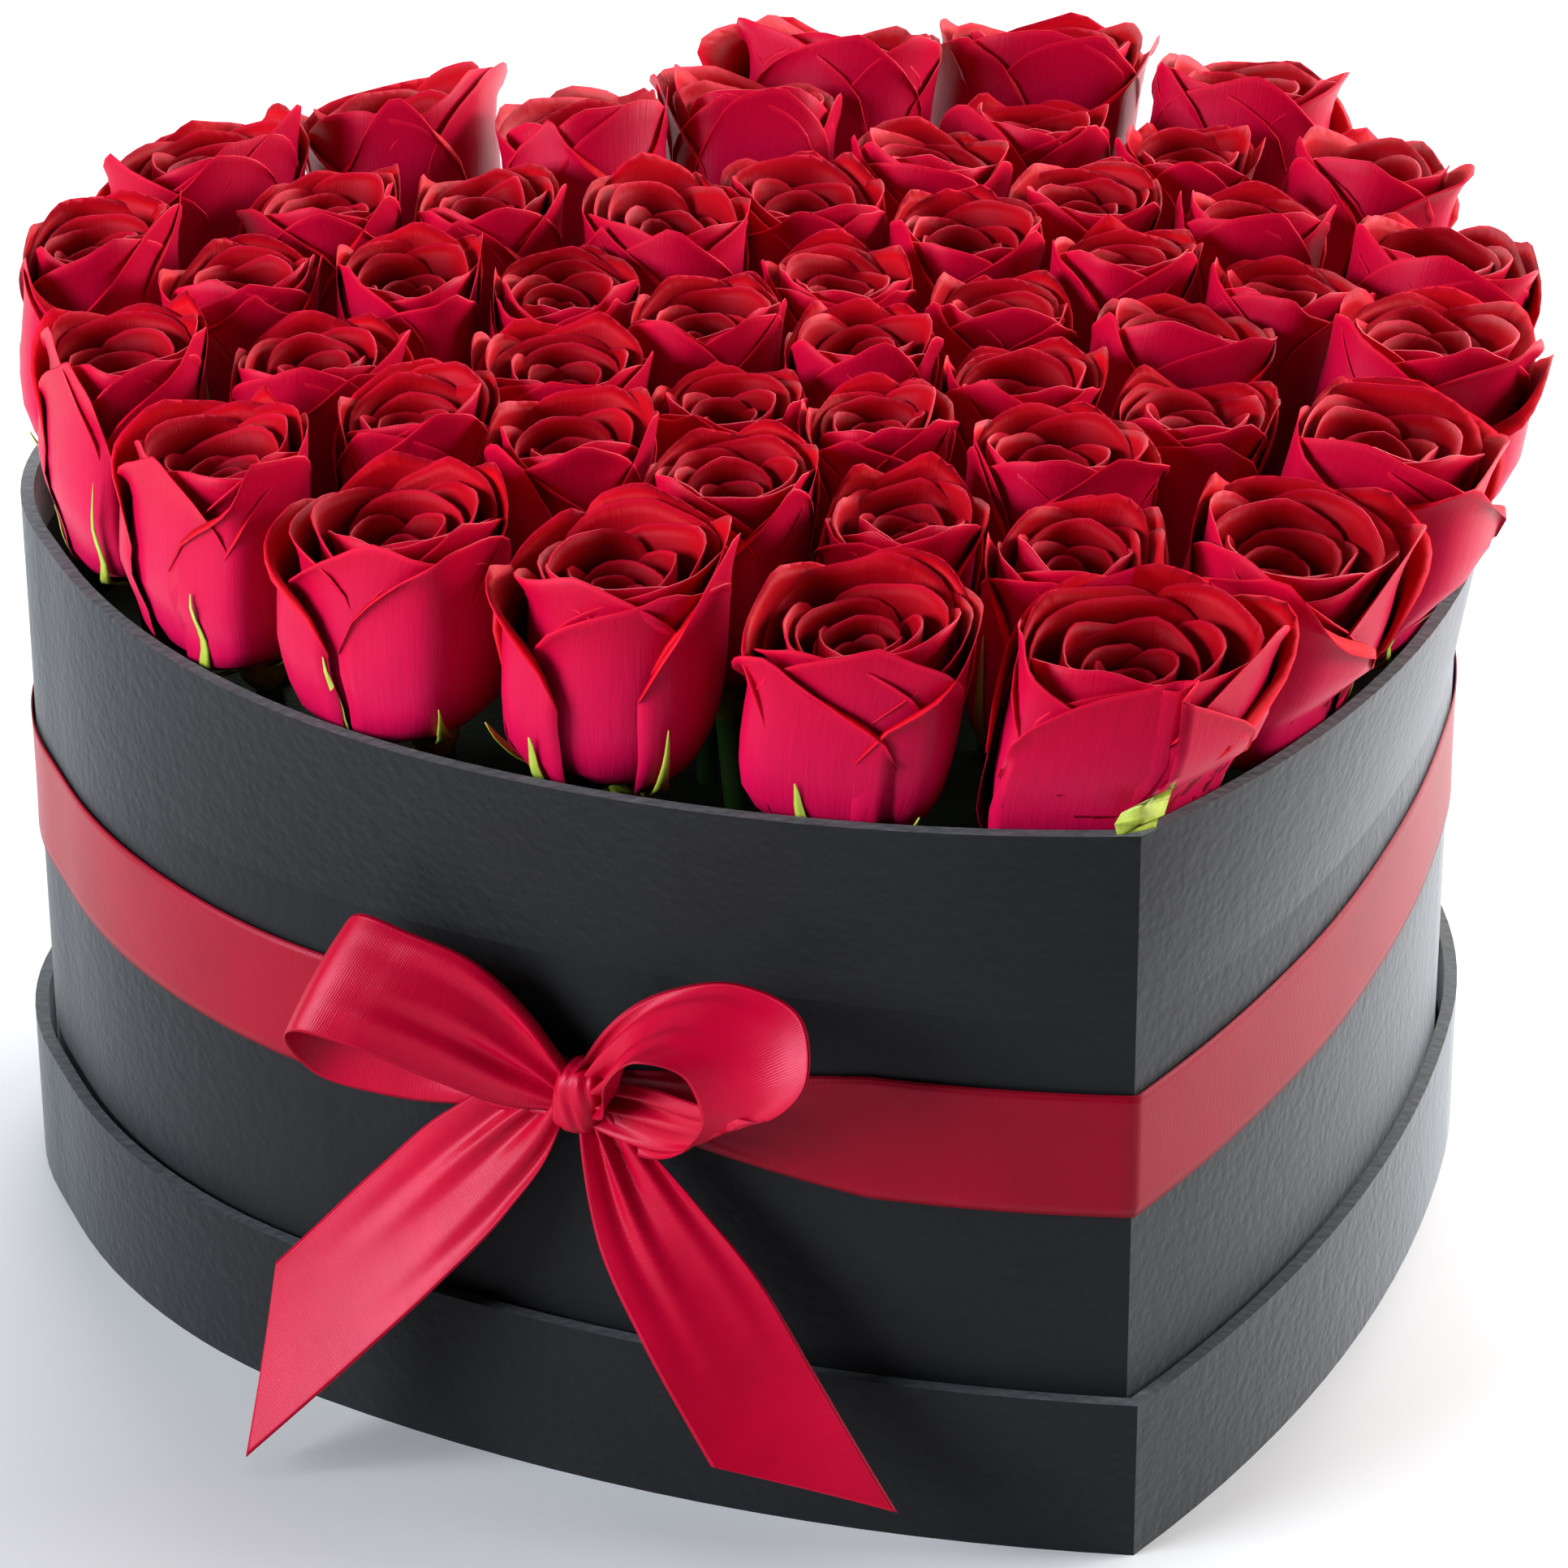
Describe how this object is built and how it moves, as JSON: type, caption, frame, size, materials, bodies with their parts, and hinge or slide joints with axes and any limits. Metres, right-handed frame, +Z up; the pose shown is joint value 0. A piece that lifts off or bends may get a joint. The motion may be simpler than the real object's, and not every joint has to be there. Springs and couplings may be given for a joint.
{
  "type": "flower box",
  "caption": "Heart-shaped hat box packed with cut roses in a tray of wet foam, tied round with a satin ribbon and bow, standing in its own upturned lid.",
  "frame": {"origin": "On the underside of the lid, at the middle of the heart's width and length.", "axes": "+Z up. -Y towards the heart's point, +Y towards the cleft. +X right, seen from the point."},
  "size_m": [0.2922, 0.2807, 0.1904],
  "materials": {
    "card_greyboard": "uncoated pressed board",
    "paper_black": "leather-embossed, satin",
    "paper_lining": "smooth, matte",
    "film_tray": "thin moulded film",
    "foam_green": "open-cell floral foam, wet",
    "stem_green": "living plant, waxy",
    "calyx_green": "living plant, waxy",
    "petal_red": "living petal, velvety",
    "ribbon_satin": "woven satin"
  },
  "bodies": {
    "lid": {"lid_base_paper": "paper_black", "lid_panel_board": "card_greyboard", "lid_rim_board": "card_greyboard", "lid_wrap": "paper_black", "lid_lining": "paper_lining"},
    "box": {"box_base_paper": "paper_black", "box_floor_board": "card_greyboard", "box_wall_board": "card_greyboard", "box_wrap": "paper_black", "box_lining": "paper_lining", "ribbon_belt": "ribbon_satin", "bow_knot": "ribbon_satin", "bow_loop_left": "ribbon_satin", "bow_loop_right": "ribbon_satin", "bow_tail_left": "ribbon_satin", "bow_tail_right": "ribbon_satin"},
    "arrangement": {"waterproof_tray": "film_tray", "floral_foam_left": "foam_green", "floral_foam_right": "foam_green", "rose_heads_outer": "petal_red", "rose_calyces_outer": "calyx_green", "rose_stems_outer": "stem_green", "rose_heads_second": "petal_red", "rose_calyces_second": "calyx_green", "rose_stems_second": "stem_green", "rose_heads_third": "petal_red", "rose_calyces_third": "calyx_green", "rose_stems_third": "stem_green", "rose_heads_inner": "petal_red", "rose_calyces_inner": "calyx_green", "rose_stems_inner": "stem_green"}
  },
  "joints": [
    {"name": "box_lift", "type": "slide", "parent": "lid", "child": "box", "axis": [0, 0, 1], "range_m": [0, 0.06]},
    {"name": "arrangement_lift", "type": "slide", "parent": "box", "child": "arrangement", "axis": [0, 0, 1], "range_m": [0, 0.15]}
  ]
}
